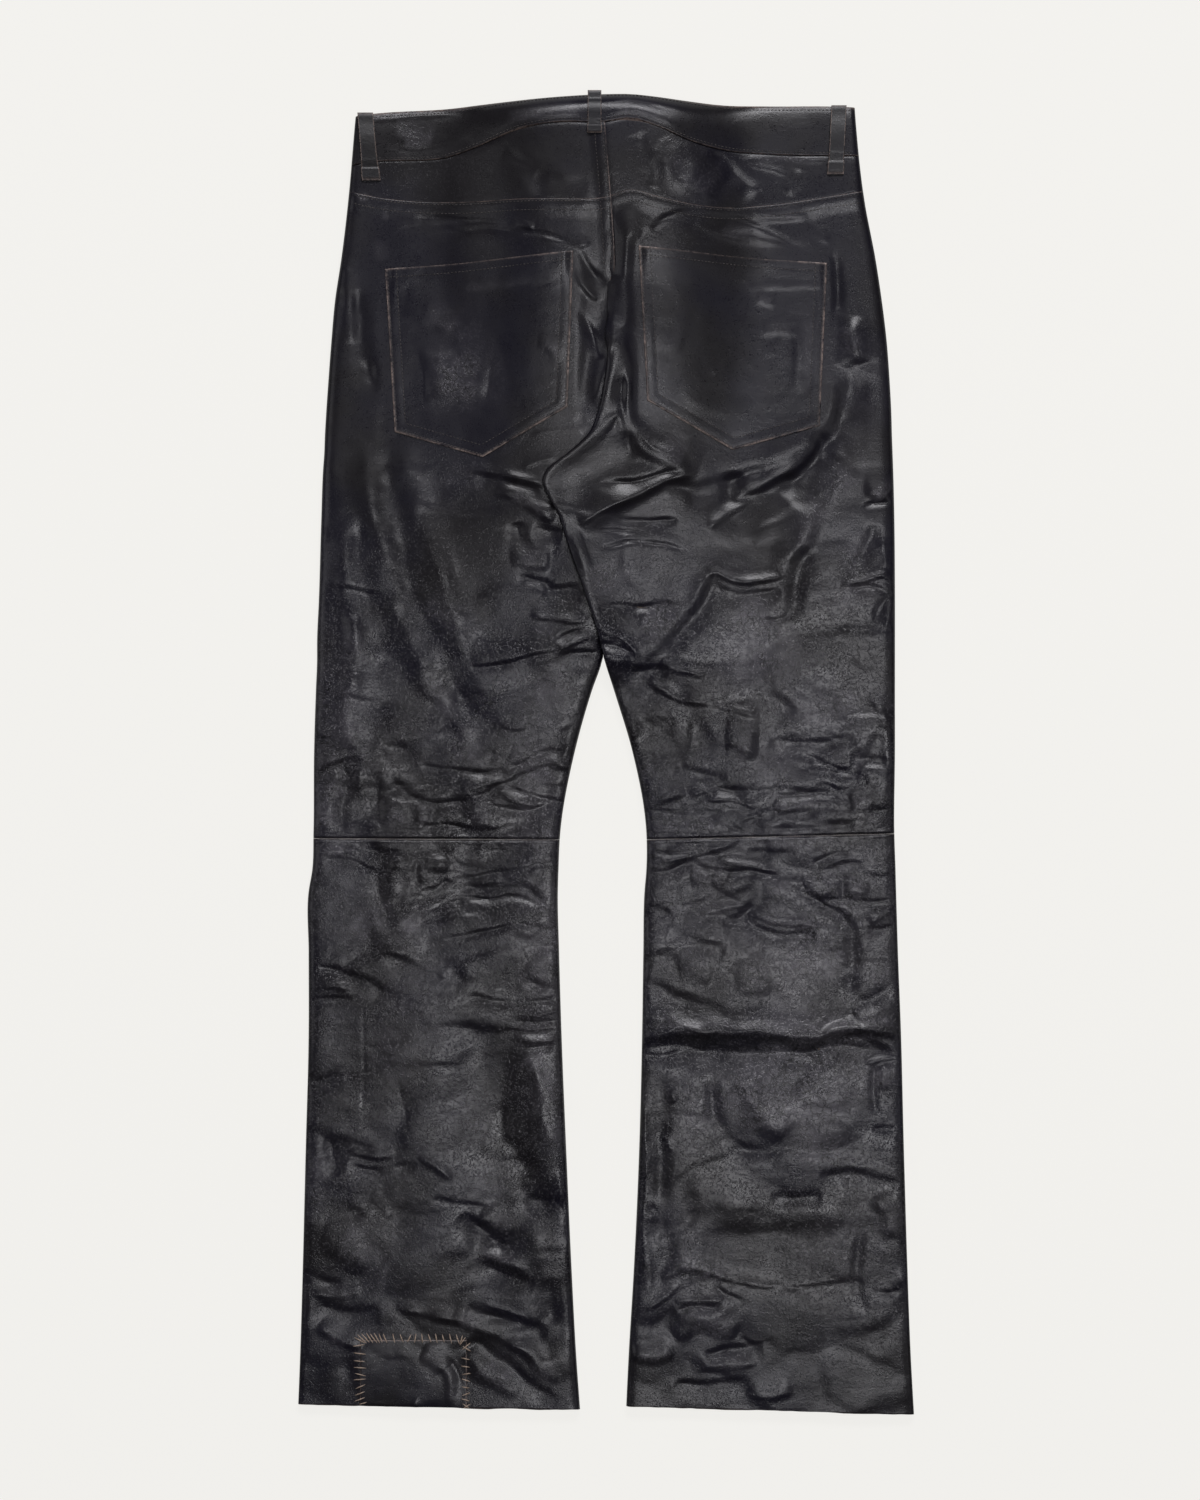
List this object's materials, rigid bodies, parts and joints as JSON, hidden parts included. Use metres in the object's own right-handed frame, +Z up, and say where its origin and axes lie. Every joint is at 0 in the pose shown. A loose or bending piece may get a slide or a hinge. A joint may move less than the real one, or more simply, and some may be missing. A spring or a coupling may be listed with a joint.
{
  "type": "leather trousers",
  "caption": "Black leather trousers laid flat face down, with a back yoke, two patch pockets, knee seams and a hand-stitched patch at one flared hem.",
  "frame": {"origin": "on the surface it lies on, below the middle of its outline", "axes": "+Z up out of the back of the trousers, +Y towards the waist, +X towards the wearer's right leg"},
  "size_m": [0.5116, 1.0989, 0.039],
  "materials": {
    "leather": "worn semi-gloss",
    "metal": "dull",
    "thread": "waxed hand-sewing thread"
  },
  "bodies": {
    "root": {"back_pocket_left": "leather", "back_pocket_right": "leather", "back_shin_left": "leather", "back_shin_right": "leather", "back_thigh_left": "leather", "back_thigh_right": "leather", "back_yoke_left": "leather", "back_yoke_right": "leather", "belt_loop_back_left": "leather", "belt_loop_back_middle": "leather", "belt_loop_back_right": "leather", "belt_loop_front_left": "leather", "belt_loop_front_right": "leather", "fly_strip": "leather", "front_shin_left": "leather", "front_shin_right": "leather", "front_thigh_left": "leather", "front_thigh_right": "leather", "hem_patch": "leather", "waist_button": "metal", "waistband_back": "leather", "waistband_front_left": "leather", "waistband_front_right": "leather"}
  },
  "joints": []
}
